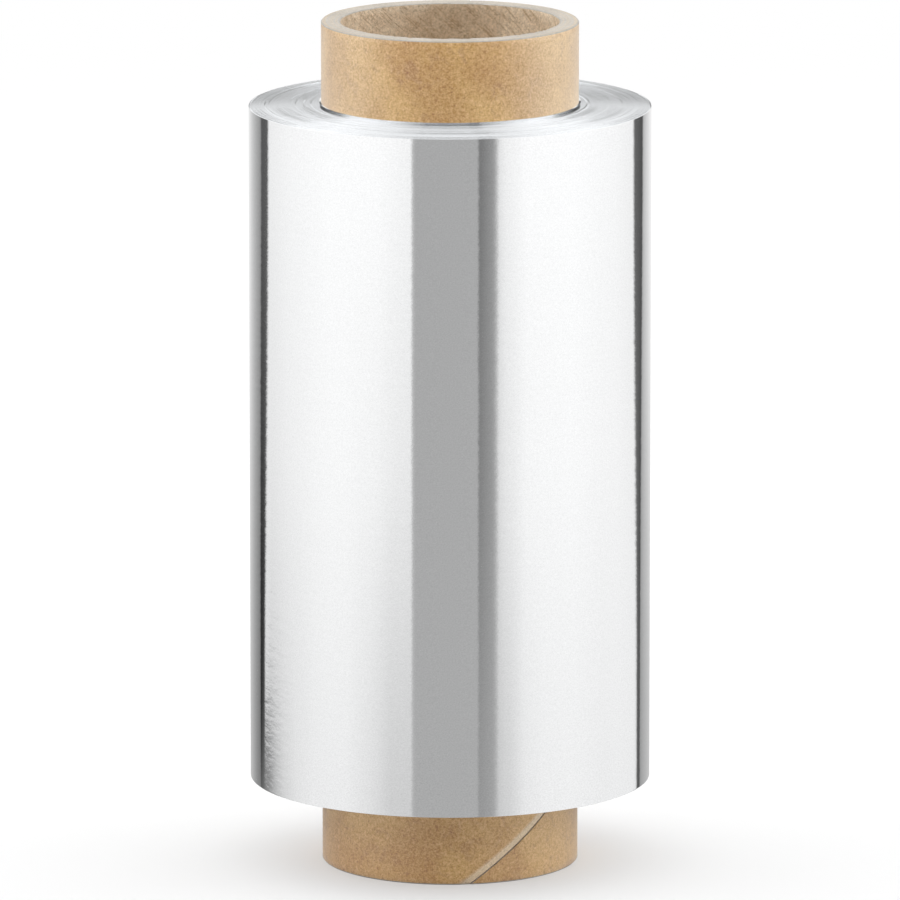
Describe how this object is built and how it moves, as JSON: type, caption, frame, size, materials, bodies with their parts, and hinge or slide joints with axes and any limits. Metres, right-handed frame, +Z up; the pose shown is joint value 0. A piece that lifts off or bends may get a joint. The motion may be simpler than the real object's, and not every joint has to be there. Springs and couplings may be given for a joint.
{
  "type": "aluminium foil roll",
  "caption": "Short roll of aluminium foil, wound on a cardboard core that stands out at both ends.",
  "frame": {"origin": "centre of the core's lower end face, which the roll stands on", "axes": "+Z up along the roll's axis, -Y the front that the picture shows, +X to the right of it"},
  "size_m": [0.0706, 0.0706, 0.15],
  "materials": {
    "cardboard": "matte",
    "foil": "polished"
  },
  "bodies": {
    "root": {"cardboard_core": "cardboard", "foil_winding": "foil"}
  },
  "joints": []
}
